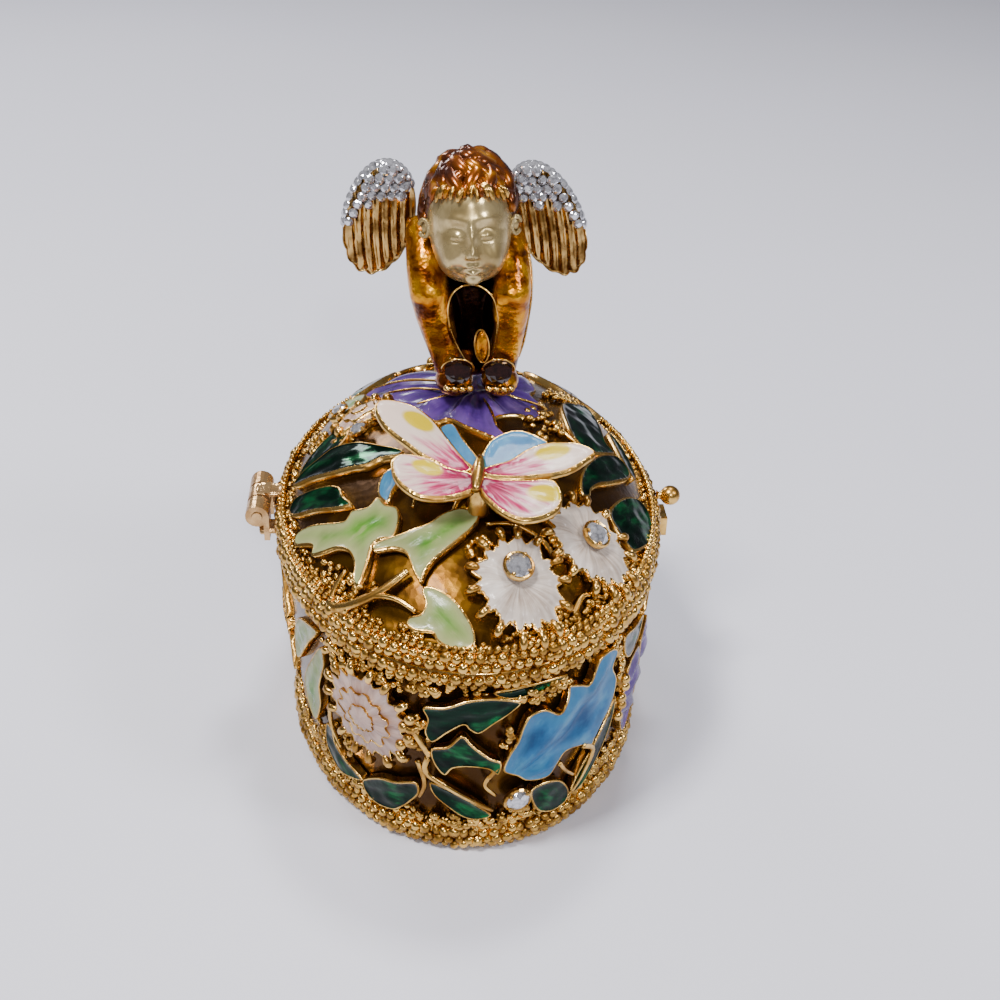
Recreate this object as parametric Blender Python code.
"""Cherub trinket box: a hollow cast oval box with a hinged domed lid.

The front looks along -Y, the hinge is at -X and the knob is at +X.
"""
import math

import bmesh
import bpy
from mathutils import Matrix, Vector

MM = 0.001
GAP = 0.3

# Box and lid, in millimetres
HALF_WIDTH = 21.0
HALF_DEPTH = 29.4
FOOT_SCALE = 0.941
SEAM_HEIGHT = 24.4
DOME_HEIGHT = 13.5
DOME_POWER = 1.57
WALL = 1.5
LID_WALL = 1.2
FLOOR = 1.5
RELIEF = 1.0
FOOT_BAND = 3.0
SEAM_BAND = 1.8
BAND_STEP = 0.35
EDGE_EASE = 0.4

# Grid of the two shells
TURN_STEPS = 76
WALL_ROWS = 11
DOME_ROWS = 14
INNER_ROWS = 4

# Hinge and knob
HINGE_OUT = 1.6
HINGE_RISE = 1.2
BARREL_RADIUS = 1.25
PIN_RADIUS = 0.55
PIN_PLAY = 0.05
KNUCKLE_LENGTH = 2.3
LEAF_THICK = 0.6
BODY_LEAF_DROP = 3.0
LID_LEAF_RISE = 1.4
KNOB_RADIUS = 1.1
KNOB_RISE = 1.4
TAB_SIZE = (0.8, 3.0, 2.2)
ROUND_STEPS = 16

# Figure
FIGURE_LEAN = -1.8
HEAD_RISE = 19.6
HEAD_PLACE = (0.5, 2.2, 19.8)
HEAD_SIZE = (5.1, 6.5, 6.2)
EAR_PLACE = (5.0, 0.4, 18.6)
EAR_SIZE = (0.7, 0.6, 1.1)
FOOT_PLACE = (2.4, 1.5, 1.45)
FOOT_SIZE = (2.0, 2.7, 1.45)
ANKLE_PLACE = (2.75, 1.9, 3.2)
ANKLE_RADIUS = 1.7
SHIN_PLACE = (3.6, 0.9, 7.6)
SHIN_RADIUS = 1.75
KNEE_PLACE = (4.1, -0.1, 12.0)
KNEE_RADIUS = 2.0
HIP_PLACE = (2.6, 7.0, 4.2)
HIP_RADIUS = 2.7
HAND_PLACE = (4.4, -0.9, 13.6)
HAND_RADIUS = 1.5
ELBOW_PLACE = (4.55, 1.8, 15.6)
ELBOW_RADIUS = 1.65
SHOULDER_PLACE = (4.0, 4.8, 16.6)
SHOULDER_RADIUS = 1.8
SEAT_PLACE = (0.0, 7.0, 3.6)
SEAT_SIZE = (4.3, 3.9, 4.0)
SEAT_RADIUS = 3.7
CHEST_PLACE = (0.0, 5.4, 10.5)
CHEST_RADIUS = 3.5
NECK_PLACE = (0.0, 4.0, 15.0)
NECK_RADIUS = 2.6
WING_ROOT_PLACE = (2.4, 6.6, 14.6)
WING_TIP_PLACE = (5.6, 7.4, 16.4)
WING_ROOT_RADIUS = 1.1
LIMB_STEPS = 3.2
BLOB_SIDES = 20
WING_BACK = 7.4
WING_OUT = 8.7
WING_RISE = 17.0
WING_SIZE = (3.6, 6.3)
WING_TILT = 20.0
WING_THICK = 1.5
WING_SWEEP = 0.12
FEATHERS = 7
FEATHER_DEPTH = 0.04
FIGURE_VOXEL = 0.4
FIGURE_KEEP = 0.085

# Butterfly
BUTTERFLY_PLACE = (0.2, -15.8)
BUTTERFLY_HEADING = 77.0
BUTTERFLY_RISE = 3.3
BUTTERFLY_THICK = 0.9
BUTTERFLY_SLOPE = 0.3
UPPER_WING = (10.3, 58.0, 17.0)
LOWER_WING = (5.2, 106.0, 24.0)
CENTRE_REACH = 2.9
POST_RADIUS = 1.0
BUTTERFLY_STEPS = 48

# Stones
DAISY_STONE = 1.3
SMALL_STONE = 0.9
FOOT_STONE = 1.4
FOOT_STONE_PLACE = (2.1, -1.0, 3.75)
FOOT_STONE_SHIFT = 0.2
FOOT_STONE_FACING = (0.0, -0.75, 0.66)
BODY_STONE = 1.3
BODY_STONE_TURN = 8.2
BODY_STONE_RISE = 6.9
SMALL_STONE_BACK = (-2.2, 3.6)
SMALL_STONE_FRONT = (-0.4, -4.0)
STONE_SIDES = 10
STONE_TABLE = 0.55
STONE_DEPTH = 0.5
PAVE_STEPS = 9
PAVE_RISE = 0.7
PAVE_FROM = -15.0
PAVE_SPAN = 145.0
PAVE_NARROW = 0.25
PAVE_WIDE = 0.36
PAVE_HIGH = ((0.0, 0.4), (0.33, 0.9), (0.7, 1.0), (1.0, 0.6))

# The oval and wall that the motifs below are drawn on
DRAWN_WIDTH = 21.0
DRAWN_DEPTH = 29.4
DRAWN_HEIGHT = 24.4

# Raised leaves on the lid: place x, y, half length, half width, heading
LID_LEAVES = {
    "pale_left": (-11.8, -15.4, 6.3, 3.6, 20.0),
    "pale_middle": (-4.8, -18.8, 5.4, 2.5, 22.0),
    "pale_front": (-3.9, -26.2, 4.0, 2.0, -35.0),
    "dark_left_back": (-16.2, -2.0, 5.4, 1.9, 56.0),
    "dark_left_middle": (-13.0, -4.6, 6.2, 1.7, -12.0),
    "dark_left_front": (-15.6, -9.0, 4.8, 1.4, -39.0),
    "dark_right_back": (13.3, 2.5, 5.0, 1.9, -62.0),
    "dark_right_middle": (14.0, -7.2, 4.5, 2.0, 40.0),
    "dark_right_front": (17.0, -10.4, 2.8, 1.7, 60.0),
    "violet_left": (-5.5, 5.5, 8.2, 3.8, 135.0),
    "violet_front": (0.8, -1.0, 6.0, 3.8, 90.0),
    "violet_right": (5.2, 2.0, 5.4, 3.2, 15.0),
    "violet_back": (2.0, 9.5, 7.5, 4.2, 80.0),
    "back_left": (-8.5, 16.5, 5.6, 2.3, 40.0),
    "back_right": (9.0, 15.5, 5.6, 2.3, 140.0),
}
LID_ROUNDS = {
    "daisy_front": (3.7, -21.9, 4.7),
    "daisy_right": (11.5, -16.3, 4.5),
    "small_flower": (-11.4, 3.4, 2.6),
    "daisy_back": (0.5, 22.3, 4.4),
}

# Raised leaves on the wall: distance along the front from its middle, height
WALL_LEAVES = {
    "dark_high": (-1.0, 19.0, 5.0, 1.7, 8.0),
    "dark_middle": (-1.0, 13.4, 4.8, 1.9, -20.0),
    "dark_low": (-1.2, 8.4, 4.2, 1.4, -35.0),
    "blue_middle": (10.0, 15.2, 8.0, 3.8, 38.0),
    "blue_low": (6.6, 12.4, 4.4, 2.4, -10.0),
    "bud_low": (9.4, 6.2, 2.8, 1.6, 0.0),
    "dark_right": (15.5, 9.6, 5.6, 1.5, 70.0),
    "violet_right": (24.0, 11.0, 5.2, 3.2, 80.0),
    "dark_far_right": (21.6, 19.0, 3.2, 1.6, 50.0),
    "pale_left": (-24.0, 14.0, 7.4, 2.6, 100.0),
    "dark_left": (-19.5, 7.6, 3.2, 1.6, -60.0),
    "small_left": (-10.0, 6.2, 2.8, 1.4, 0.0),
}
WALL_ROUNDS = {
    "daisy_left": (-11.4, 15.6, 5.0),
}
BACK_FLOWERS = 6
BACK_FROM = 33.0
BACK_FLOWER_RADIUS = 4.6
BACK_LEAF = (5.4, 1.9)
EDGE_FADE = 0.9

COLOURS = {
    "gilt_cast": (0.76, 0.55, 0.24, 1.0),
    "gilt_hinge": (0.72, 0.48, 0.32, 1.0),
    "gilt_knob": (0.85, 0.65, 0.30, 1.0),
    "amber_figure": (0.62, 0.32, 0.07, 1.0),
    "white_enamel": (0.86, 0.76, 0.74, 1.0),
    "clear_stone": (0.80, 0.80, 0.82, 1.0),
    "dark_stone": (0.12, 0.05, 0.04, 1.0),
}
METAL_SLOTS = ("gilt_cast", "gilt_hinge", "gilt_knob")


def clear_scene():
    for item in list(bpy.data.objects):
        bpy.data.objects.remove(item, do_unlink=True)


def make_material(slot):
    material = bpy.data.materials.new(slot)
    material.use_nodes = True
    shader = material.node_tree.nodes["Principled BSDF"]
    shader.inputs["Base Color"].default_value = COLOURS[slot]
    shader.inputs["Metallic"].default_value = 1.0 if slot in METAL_SLOTS else 0.0
    shader.inputs["Roughness"].default_value = 0.3
    return material


def make_object(name, mesh, slot):
    material = make_material(slot)
    material.name = name + "_" + slot
    mesh.materials.append(material)
    item = bpy.data.objects.new(name, mesh)
    bpy.context.scene.collection.objects.link(item)
    return item


def mesh_from_faces(name, points, faces):
    shape = bmesh.new()
    corners = [shape.verts.new(Vector(point) * MM) for point in points]
    for face in faces:
        shape.faces.new([corners[index] for index in face])
    bmesh.ops.recalc_face_normals(shape, faces=shape.faces)
    mesh = bpy.data.meshes.new(name)
    shape.to_mesh(mesh)
    shape.free()
    return mesh


def rings_to_mesh(name, rings, start, finish):
    """Joins closed rings of points, and closes both ends on a middle point."""
    count = len(rings[0])
    points = [start]
    for ring in rings:
        points.extend(ring)
    points.append(finish)
    last = len(points) - 1
    faces = []
    for index in range(count):
        following = (index + 1) % count
        faces.append((0, 1 + index, 1 + following))
        tail = last - count
        faces.append((last, tail + following, tail + index))
    for row in range(len(rings) - 1):
        first = 1 + row * count
        second = first + count
        for index in range(count):
            following = (index + 1) % count
            faces.append((first + index, second + index, second + following, first + following))
    return mesh_from_faces(name, points, faces)


def oval_point(turn, inset, scale, height):
    """A point on the oval, moved in along its normal; turn 0 is the front."""
    width = HALF_WIDTH * scale
    depth = HALF_DEPTH * scale
    across = math.sin(turn)
    along = -math.cos(turn)
    out = Vector((across / width, along / depth)).normalized()
    return (width * across - out.x * inset, depth * along - out.y * inset, height)


def turn_table():
    return [2.0 * math.pi * step / TURN_STEPS for step in range(TURN_STEPS)]


def arc_lengths(turns):
    """Signed distance along the oval from the middle of the front."""
    fine = 16
    lengths = []
    for turn in turns:
        signed = turn if turn <= math.pi else turn - 2.0 * math.pi
        pieces = fine * TURN_STEPS // 4
        total = 0.0
        for piece in range(pieces):
            middle = signed * (piece + 0.5) / pieces
            speed = math.hypot(HALF_WIDTH * math.cos(middle), HALF_DEPTH * math.sin(middle))
            total += speed * signed / pieces
        lengths.append(total)
    return lengths


def leaf_inside(across, up, leaf):
    """How far inside a pointed leaf a place lies."""
    middle_x, middle_y, half_long, half_wide, heading = leaf
    angle = math.radians(heading)
    along = (across - middle_x) * math.cos(angle) + (up - middle_y) * math.sin(angle)
    aside = (up - middle_y) * math.cos(angle) - (across - middle_x) * math.sin(angle)
    share = along / half_long
    return half_wide * (1.0 - share * share) - abs(aside)


def round_inside(across, up, flower):
    middle_x, middle_y, radius = flower
    return radius - math.hypot(across - middle_x, up - middle_y)


def relief_at(across, up, leaves, rounds):
    depth = -EDGE_FADE
    for leaf in leaves:
        depth = max(depth, leaf_inside(across, up, leaf))
    for flower in rounds:
        depth = max(depth, round_inside(across, up, flower))
    return RELIEF * min(1.0, max(0.0, depth / EDGE_FADE + 0.5))


def on_lid(place):
    """Moves a drawn place to the lid's own oval."""
    return (place[0] * HALF_WIDTH / DRAWN_WIDTH, place[1] * HALF_DEPTH / DRAWN_DEPTH)


def lid_motif(motif):
    growth = HALF_WIDTH / DRAWN_WIDTH
    if len(motif) == 3:
        return on_lid(motif) + (motif[2] * growth,)
    return on_lid(motif) + (motif[2] * growth, motif[3] * growth, motif[4])


def wall_motif(motif):
    growth = HALF_WIDTH / DRAWN_WIDTH
    place = (motif[0] * growth, motif[1] * SEAM_HEIGHT / DRAWN_HEIGHT)
    if len(motif) == 3:
        return place + (motif[2] * growth,)
    return place + (motif[2] * growth, motif[3] * growth, motif[4])


def back_motifs(perimeter):
    """Flowers and leaves in turn around the sides and back of the wall."""
    span = perimeter - 2.0 * BACK_FROM
    middle = (FOOT_BAND + SEAM_HEIGHT - SEAM_BAND) / 2.0
    flowers = []
    leaves = []
    for index in range(BACK_FLOWERS):
        place = BACK_FROM + span * (index + 0.5) / BACK_FLOWERS
        rise = RELIEF if index % 2 else -RELIEF
        flowers.append((place, middle + rise, BACK_FLOWER_RADIUS))
    for index in range(BACK_FLOWERS + 1):
        place = BACK_FROM + span * index / BACK_FLOWERS
        turned = 60.0 if index % 2 else 120.0
        leaves.append((place, middle, BACK_LEAF[0], BACK_LEAF[1], turned))
    return leaves, flowers


def ease(value, start, finish):
    share = min(1.0, max(0.0, (value - start) / (finish - start)))
    return share * share * (3.0 - 2.0 * share)


def wall_scale(height):
    return FOOT_SCALE + (1.0 - FOOT_SCALE) * min(1.0, height / SEAM_HEIGHT)


def build_box_body():
    turns = turn_table()
    lengths = arc_lengths(turns)
    perimeter = 2.0 * max(lengths)
    extra_leaves, extra_rounds = back_motifs(perimeter)
    leaves = [wall_motif(leaf) for leaf in WALL_LEAVES.values()] + extra_leaves
    rounds = [wall_motif(flower) for flower in WALL_ROUNDS.values()] + extra_rounds
    top = SEAM_HEIGHT - GAP / 2.0
    rows = [(0.0, EDGE_EASE), (EDGE_EASE, 0.0), (FOOT_BAND, 0.0)]
    rings = [[oval_point(turn, inset, wall_scale(height), height) for turn in turns] for height, inset in rows]
    low = FOOT_BAND + BAND_STEP
    high = SEAM_HEIGHT - SEAM_BAND - BAND_STEP
    for row in range(WALL_ROWS + 1):
        height = low + (high - low) * row / WALL_ROWS
        ring = []
        for turn, length in zip(turns, lengths):
            place = length % perimeter if abs(length) > BACK_FROM else length
            raised = relief_at(place, height, leaves, rounds)
            ring.append(oval_point(turn, RELIEF - raised, wall_scale(height), height))
        rings.append(ring)
    for height in (SEAM_HEIGHT - SEAM_BAND, top):
        rings.append([oval_point(turn, 0.0, wall_scale(height), height) for turn in turns])
    inner = RELIEF + WALL
    for row in range(INNER_ROWS + 1):
        height = top - (top - FLOOR - WALL) * row / INNER_ROWS
        rings.append([oval_point(turn, inner, wall_scale(height), height) for turn in turns])
    rings.append([oval_point(turn, inner + WALL, wall_scale(FLOOR), FLOOR) for turn in turns])
    mesh = rings_to_mesh("box_body", rings, (0.0, 0.0, 0.0), (0.0, 0.0, FLOOR))
    return make_object("box_body", mesh, "gilt_cast")


def dome_profile(steps, shrink):
    """Share of the oval and height of each ring of a dome, from rim to top."""
    rows = []
    power = 2.0 / DOME_POWER
    height = DOME_HEIGHT - shrink
    for step in range(steps):
        angle = 0.5 * math.pi * step / steps
        rows.append((math.cos(angle) ** power, height * math.sin(angle) ** power))
    return rows


def dome_rings(turns, steps, shrink, first_height, leaves, rounds):
    rings = []
    for share, rise in dome_profile(steps, shrink):
        if SEAM_HEIGHT + rise < first_height:
            continue
        ring = []
        for turn in turns:
            flat = oval_point(turn, shrink, 1.0, SEAM_HEIGHT)
            across = flat[0] * share
            along = flat[1] * share
            raised = relief_at(across, along, leaves, rounds)
            lean = share * share
            stretch = 1.0 + raised * lean / (HALF_WIDTH - shrink)
            lifted = SEAM_HEIGHT + rise + raised * math.sqrt(1.0 - lean * lean)
            ring.append((across * stretch, along * stretch, lifted))
        rings.append(ring)
    return rings


def build_lid():
    turns = turn_table()
    leaves = [lid_motif(leaf) for leaf in LID_LEAVES.values()]
    rounds = [lid_motif(flower) for flower in LID_ROUNDS.values()]
    bottom = SEAM_HEIGHT + GAP / 2.0
    band_top = SEAM_HEIGHT + SEAM_BAND
    inner_shrink = RELIEF + LID_WALL
    inner = dome_rings(turns, INNER_ROWS + 2, inner_shrink, bottom, [], [])
    rim = [oval_point(turn, inner_shrink, 1.0, bottom) for turn in turns]
    rings = list(reversed(inner))
    rings.append(rim)
    rings.append([oval_point(turn, 0.0, 1.0, bottom) for turn in turns])
    rings.append([oval_point(turn, 0.0, 1.0, band_top - BAND_STEP) for turn in turns])
    rings.append([oval_point(turn, EDGE_EASE, 1.0, band_top) for turn in turns])
    first = band_top + BAND_STEP
    rings.extend(dome_rings(turns, DOME_ROWS, RELIEF, first, leaves, rounds))
    below = (0.0, 0.0, SEAM_HEIGHT + DOME_HEIGHT - inner_shrink)
    above = (0.0, 0.0, SEAM_HEIGHT + DOME_HEIGHT)
    mesh = rings_to_mesh("lid", rings, below, above)
    return make_object("lid", mesh, "gilt_cast")


def hinge_axis():
    return (-HALF_WIDTH - HINGE_OUT, 0.0, SEAM_HEIGHT + HINGE_RISE)


def knuckle_outline(tail):
    """A barrel with a leaf that runs down the wall or up the lid's edge."""
    inner_face = BARREL_RADIUS
    outer_face = inner_face - LEAF_THICK
    sign = -1.0 if tail < 0.0 else 1.0
    meet = math.acos(outer_face / BARREL_RADIUS)
    outline = []
    span = 2.0 * math.pi - meet
    for step in range(ROUND_STEPS + 1):
        angle = sign * (meet + span * step / ROUND_STEPS)
        outline.append((BARREL_RADIUS * math.cos(angle), BARREL_RADIUS * math.sin(angle)))
    outline.append((inner_face, tail))
    outline.append((outer_face, tail))
    return outline


def build_knuckle(name, middle, tail, cutter):
    outline = knuckle_outline(tail)
    centre = hinge_axis()
    points = []
    for side in (-0.5, 0.5):
        for across, up in outline:
            points.append((centre[0] + across, middle + side * KNUCKLE_LENGTH, centre[2] + up))
    count = len(outline)
    faces = [list(range(count)), list(range(count, 2 * count))]
    for index in range(count):
        following = (index + 1) % count
        faces.append((index, following, following + count, index + count))
    mesh = mesh_from_faces(name, points, faces)
    item = make_object(name, mesh, "gilt_hinge")
    cut = item.modifiers.new("bore", "BOOLEAN")
    cut.operation = "DIFFERENCE"
    cut.solver = "EXACT"
    cut.object = cutter
    return item


def rod_mesh(name, radius, length, sides):
    shape = bmesh.new()
    bmesh.ops.create_cone(
        shape, cap_ends=True, segments=sides, radius1=radius * MM, radius2=radius * MM, depth=length * MM
    )
    mesh = bpy.data.meshes.new(name)
    shape.to_mesh(mesh)
    shape.free()
    return mesh


def lay_along_y(item, centre):
    item.rotation_euler = (math.radians(90.0), 0.0, 0.0)
    item.location = Vector(centre) * MM


def build_hinge():
    pitch = KNUCKLE_LENGTH + GAP
    total = 3.0 * KNUCKLE_LENGTH + 2.0 * GAP
    cutter = bpy.data.objects.new(
        "bore_cutter", rod_mesh("bore_cutter", PIN_RADIUS + PIN_PLAY, total + BARREL_RADIUS, ROUND_STEPS)
    )
    bpy.context.scene.collection.objects.link(cutter)
    lay_along_y(cutter, hinge_axis())
    cutter.hide_render = True
    cutter.display_type = "WIRE"
    build_knuckle("hinge_knuckle_front", -pitch, -BODY_LEAF_DROP, cutter)
    build_knuckle("hinge_knuckle_back", pitch, -BODY_LEAF_DROP, cutter)
    build_knuckle("hinge_knuckle_lid", 0.0, LID_LEAF_RISE, cutter)
    pin = make_object("hinge_pin", rod_mesh("hinge_pin", PIN_RADIUS, total + GAP, ROUND_STEPS), "gilt_hinge")
    lay_along_y(pin, hinge_axis())


def build_knob():
    shape = bmesh.new()
    bmesh.ops.create_uvsphere(shape, u_segments=ROUND_STEPS, v_segments=ROUND_STEPS // 2, radius=KNOB_RADIUS * MM)
    mesh = bpy.data.meshes.new("clasp_knob")
    shape.to_mesh(mesh)
    shape.free()
    knob = make_object("clasp_knob", mesh, "gilt_knob")
    knob.location = Vector((HALF_WIDTH + KNOB_RADIUS + GAP, 0.0, SEAM_HEIGHT + KNOB_RISE)) * MM


def build_tab():
    shape = bmesh.new()
    bmesh.ops.create_cube(shape, size=MM)
    bmesh.ops.scale(shape, vec=TAB_SIZE, verts=shape.verts)
    mesh = bpy.data.meshes.new("clasp_tab")
    shape.to_mesh(mesh)
    shape.free()
    tab = make_object("clasp_tab", mesh, "gilt_knob")
    height = SEAM_HEIGHT - SEAM_BAND
    tab.location = Vector((HALF_WIDTH + GAP + TAB_SIZE[0] / 2.0, 0.0, height)) * MM


def lean_at(rise):
    return FIGURE_LEAN * rise / HEAD_RISE + 0.5 * abs(FIGURE_LEAN)


def figure_point(across, back, rise):
    base = SEAM_HEIGHT + DOME_HEIGHT
    return Vector((across + lean_at(rise), back, base + rise))


def add_blob(shape, centre, size, steps):
    matrix = Matrix.Translation(centre) @ Matrix.Diagonal((size[0], size[1], size[2], 1.0))
    bmesh.ops.create_uvsphere(shape, u_segments=steps, v_segments=steps // 2 + 2, radius=1.0, matrix=matrix)


def add_limb(shape, start, finish, start_radius, finish_radius):
    """A tapered limb as a row of round blobs."""
    reach = (finish - start).length
    count = max(2, round(LIMB_STEPS * reach / (start_radius + finish_radius)))
    for step in range(count + 1):
        share = step / count
        radius = start_radius + (finish_radius - start_radius) * share
        add_blob(shape, start.lerp(finish, share), (radius, radius, radius), BLOB_SIDES)


def wing_place(side, angle, share):
    """Place across and up of a point of the tilted oval of one wing."""
    tilt = math.radians(WING_TILT)
    aside = WING_SIZE[0] * math.cos(angle) * share
    along = WING_SIZE[1] * math.sin(angle) * share
    across = WING_OUT + aside * math.cos(tilt) - along * math.sin(tilt)
    up = WING_RISE + aside * math.sin(tilt) + along * math.cos(tilt)
    place = figure_point(side * across, WING_BACK, up)
    place.y -= WING_SWEEP * max(0.0, across - WING_OUT)
    return place


def add_wing(shape, side):
    steps = 4 * ROUND_STEPS
    layers = []
    for inset, depth in ((0.07, -0.5), (0.0, -0.2), (0.0, 0.2), (0.07, 0.5)):
        ring = []
        for step in range(steps):
            angle = 2.0 * math.pi * step / steps
            tips = FEATHER_DEPTH * abs(math.sin(angle * FEATHERS)) if math.sin(angle) < 0.0 else 0.0
            place = wing_place(side, angle, 1.0 + tips - inset)
            ring.append(shape.verts.new(place + Vector((0.0, depth * WING_THICK, 0.0))))
        layers.append(ring)
    for lower, upper in zip(layers, layers[1:]):
        for index in range(steps):
            following = (index + 1) % steps
            shape.faces.new((lower[index], lower[following], upper[following], upper[index]))
    shape.faces.new(layers[0])
    shape.faces.new(layers[-1])


def mirrored(side, place):
    return figure_point(side * place[0], place[1], place[2])


def add_legs_and_arms(shape):
    for side in (-1.0, 1.0):
        knee = mirrored(side, KNEE_PLACE)
        shin = mirrored(side, SHIN_PLACE)
        ankle = mirrored(side, ANKLE_PLACE)
        add_limb(shape, knee, shin, KNEE_RADIUS, SHIN_RADIUS)
        add_limb(shape, shin, ankle, SHIN_RADIUS, ANKLE_RADIUS)
        add_limb(shape, knee, mirrored(side, HIP_PLACE), KNEE_RADIUS, HIP_RADIUS)
        add_blob(shape, mirrored(side, FOOT_PLACE), FOOT_SIZE, BLOB_SIDES)
        elbow = mirrored(side, ELBOW_PLACE)
        add_limb(shape, mirrored(side, SHOULDER_PLACE), elbow, SHOULDER_RADIUS, ELBOW_RADIUS)
        add_limb(shape, elbow, mirrored(side, HAND_PLACE), ELBOW_RADIUS, HAND_RADIUS)


def add_torso_and_head(shape):
    seat = figure_point(*SEAT_PLACE)
    chest = figure_point(*CHEST_PLACE)
    neck = figure_point(*NECK_PLACE)
    add_blob(shape, seat, SEAT_SIZE, BLOB_SIDES)
    add_limb(shape, seat, chest, SEAT_RADIUS, CHEST_RADIUS)
    add_limb(shape, chest, neck, CHEST_RADIUS, NECK_RADIUS)
    add_blob(shape, figure_point(*HEAD_PLACE), HEAD_SIZE, BLOB_SIDES + ROUND_STEPS // 2)
    for side in (-1.0, 1.0):
        ear = figure_point(HEAD_PLACE[0] + side * EAR_PLACE[0], EAR_PLACE[1], EAR_PLACE[2])
        add_blob(shape, ear, EAR_SIZE, BLOB_SIDES)
        root = mirrored(side, WING_ROOT_PLACE)
        add_limb(shape, root, mirrored(side, WING_TIP_PLACE), WING_ROOT_RADIUS, WING_ROOT_RADIUS)


def build_cherub():
    shape = bmesh.new()
    add_torso_and_head(shape)
    add_legs_and_arms(shape)
    for side in (-1.0, 1.0):
        add_wing(shape, side)
    bmesh.ops.recalc_face_normals(shape, faces=shape.faces)
    bmesh.ops.scale(shape, vec=(MM, MM, MM), verts=shape.verts)
    mesh = bpy.data.meshes.new("cherub")
    shape.to_mesh(mesh)
    shape.free()
    cherub = make_object("cherub", mesh, "amber_figure")
    skin = cherub.modifiers.new("one_skin", "REMESH")
    skin.mode = "VOXEL"
    skin.voxel_size = FIGURE_VOXEL * MM
    skin.adaptivity = 0.0
    soften = cherub.modifiers.new("soften", "SMOOTH")
    soften.factor = 0.5
    soften.iterations = 2
    fewer = cherub.modifiers.new("fewer_faces", "DECIMATE")
    fewer.ratio = FIGURE_KEEP
    fewer.use_collapse_triangulate = True


def butterfly_reach(angle):
    """Distance of the outline from the middle, angle from the axis in degrees."""
    away = abs((angle + 180.0) % 360.0 - 180.0)
    reach = CENTRE_REACH
    for length, heading, spread in (UPPER_WING, LOWER_WING):
        reach += length * math.exp(-(((away - heading) / spread) ** 2))
    return reach * HALF_DEPTH / DRAWN_DEPTH


def lid_height(across, along):
    share = math.hypot(across / HALF_WIDTH, along / HALF_DEPTH)
    return SEAM_HEIGHT + DOME_HEIGHT * (1.0 - share ** DOME_POWER) ** (1.0 / DOME_POWER)


def butterfly_ring(share, drop, radius):
    ring = []
    middle = on_lid(BUTTERFLY_PLACE)
    base = lid_height(middle[0], middle[1]) + BUTTERFLY_RISE
    for step in range(BUTTERFLY_STEPS):
        angle = 360.0 * step / BUTTERFLY_STEPS
        reach = radius if radius else share * butterfly_reach(angle)
        turn = math.radians(BUTTERFLY_HEADING + angle)
        along = reach * math.sin(turn)
        height = base + BUTTERFLY_SLOPE * along - drop
        ring.append((middle[0] + reach * math.cos(turn), middle[1] + along, height))
    return ring


def build_butterfly():
    middle = on_lid(BUTTERFLY_PLACE)
    surface = lid_height(middle[0], middle[1])
    foot = surface + GAP
    post = butterfly_ring(0.0, 0.0, POST_RADIUS)
    post = [(point[0], point[1], foot) for point in post]
    rings = [
        butterfly_ring(0.3, 0.0, 0.0),
        butterfly_ring(0.7, 0.0, 0.0),
        butterfly_ring(1.0, 0.2 * BUTTERFLY_THICK, 0.0),
        butterfly_ring(1.0, 0.8 * BUTTERFLY_THICK, 0.0),
        butterfly_ring(0.7, BUTTERFLY_THICK, 0.0),
        butterfly_ring(0.0, BUTTERFLY_THICK, POST_RADIUS),
        post,
    ]
    start = (middle[0], middle[1], surface + BUTTERFLY_RISE + GAP)
    mesh = rings_to_mesh("butterfly", rings, start, (middle[0], middle[1], foot))
    make_object("butterfly", mesh, "white_enamel")


def build_stone(name, place, out, radius, slot):
    """A round cut stone with its flat table facing out."""
    shape = bmesh.new()
    bmesh.ops.create_cone(
        shape, cap_ends=True, segments=STONE_SIDES, radius1=radius * MM, radius2=STONE_TABLE * radius * MM,
        depth=STONE_DEPTH * radius * MM
    )
    bmesh.ops.translate(shape, vec=(0.0, 0.0, 0.5 * STONE_DEPTH * radius * MM), verts=shape.verts)
    mesh = bpy.data.meshes.new(name)
    shape.to_mesh(mesh)
    shape.free()
    stone = make_object(name, mesh, slot)
    stone.rotation_euler = Vector(out).to_track_quat("Z", "Y").to_euler()
    stone.location = (Vector(place) + Vector(out).normalized() * GAP) * MM


def dome_normal(across, along):
    small = 0.05
    slope_x = (lid_height(across + small, along) - lid_height(across - small, along)) / (2.0 * small)
    slope_y = (lid_height(across, along + small) - lid_height(across, along - small)) / (2.0 * small)
    return Vector((-slope_x, -slope_y, 1.0)).normalized()


def build_lid_stone(name, across, along, radius):
    place = (across, along, lid_height(across, along))
    build_stone(name, place, dome_normal(across, along), radius, "clear_stone")


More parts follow.
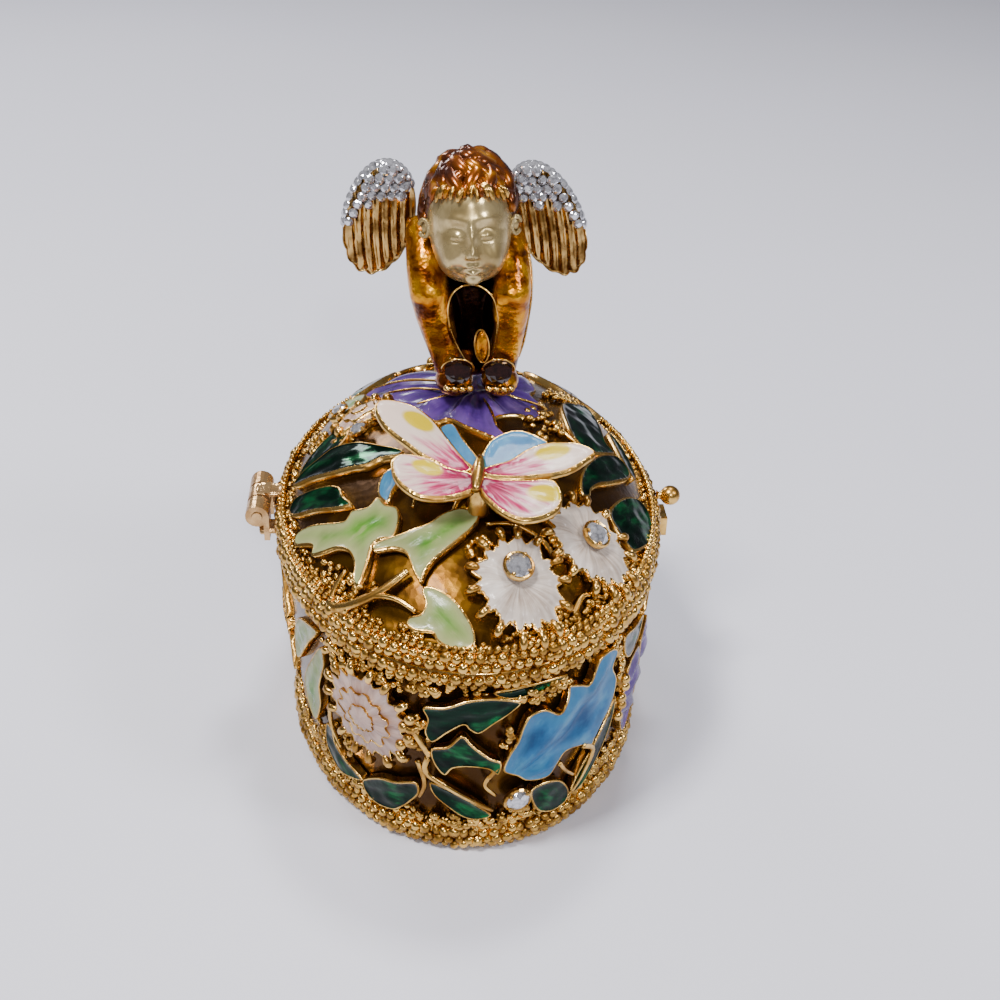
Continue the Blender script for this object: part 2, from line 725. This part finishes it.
def build_stones():
    front = lid_motif(LID_ROUNDS["daisy_front"])
    right = lid_motif(LID_ROUNDS["daisy_right"])
    small = LID_ROUNDS["small_flower"]
    behind = on_lid((small[0] + SMALL_STONE_BACK[0], small[1] + SMALL_STONE_BACK[1]))
    before = on_lid((small[0] + SMALL_STONE_FRONT[0], small[1] + SMALL_STONE_FRONT[1]))
    build_lid_stone("daisy_stone_front", front[0], front[1], DAISY_STONE)
    build_lid_stone("daisy_stone_right", right[0], right[1], DAISY_STONE)
    build_lid_stone("flower_stone_back", behind[0], behind[1], SMALL_STONE)
    build_lid_stone("flower_stone_front", before[0], before[1], SMALL_STONE)
    turn = math.radians(BODY_STONE_TURN)
    height = BODY_STONE_RISE * SEAM_HEIGHT / DRAWN_HEIGHT
    place = oval_point(turn, 0.0, wall_scale(height), height)
    outward = oval_point(turn, -1.0, wall_scale(height), height)
    build_stone("body_stone", place, Vector(outward) - Vector(place), BODY_STONE, "clear_stone")
    for side, name in ((-1.0, "foot_stone_left"), (1.0, "foot_stone_right")):
        across = side * FOOT_STONE_PLACE[0] + FOOT_STONE_SHIFT
        centre = figure_point(across, FOOT_STONE_PLACE[1], FOOT_STONE_PLACE[2])
        build_stone(name, centre, Vector(FOOT_STONE_FACING), FOOT_STONE, "dark_stone")


def build_wing_stones(name, side):
    """One crescent of set stones over the upper half of a wing's front."""
    rows = PAVE_HIGH
    front = []
    back = []
    face = -0.5 * WING_THICK - GAP
    for step in range(PAVE_STEPS + 1):
        part = step / PAVE_STEPS
        angle = math.radians(PAVE_FROM + PAVE_SPAN * part)
        bump = 1.0 if step % 2 else 0.75
        wide_share = PAVE_NARROW + PAVE_WIDE * math.sin(0.5 * math.pi * min(1.0, part * 1.4))
        for outward, rise in rows:
            place = wing_place(side, angle, 0.95 - wide_share * (1.0 - outward))
            front.append((place.x, place.y + face - PAVE_RISE * rise * bump, place.z))
            back.append((place.x, place.y + face, place.z))
    points = front + back
    wide = len(rows)
    half = len(front)
    faces = []
    for step in range(PAVE_STEPS):
        for column in range(wide - 1):
            first = step * wide + column
            faces.append((first, first + 1, first + 1 + wide, first + wide))
            faces.append((half + first, half + first + wide, half + first + 1 + wide, half + first + 1))
        for column in (0, wide - 1):
            first = step * wide + column
            faces.append((first, first + wide, half + first + wide, half + first))
    for column in range(wide - 1):
        for first in (column, PAVE_STEPS * wide + column):
            faces.append((first, first + 1, half + first + 1, half + first))
    mesh = mesh_from_faces(name, points, faces)
    make_object(name, mesh, "clear_stone")


clear_scene()
build_box_body()
build_lid()
build_hinge()
build_knob()
build_tab()
build_cherub()
build_butterfly()
build_stones()
build_wing_stones("wing_stones_left", -1.0)
build_wing_stones("wing_stones_right", 1.0)
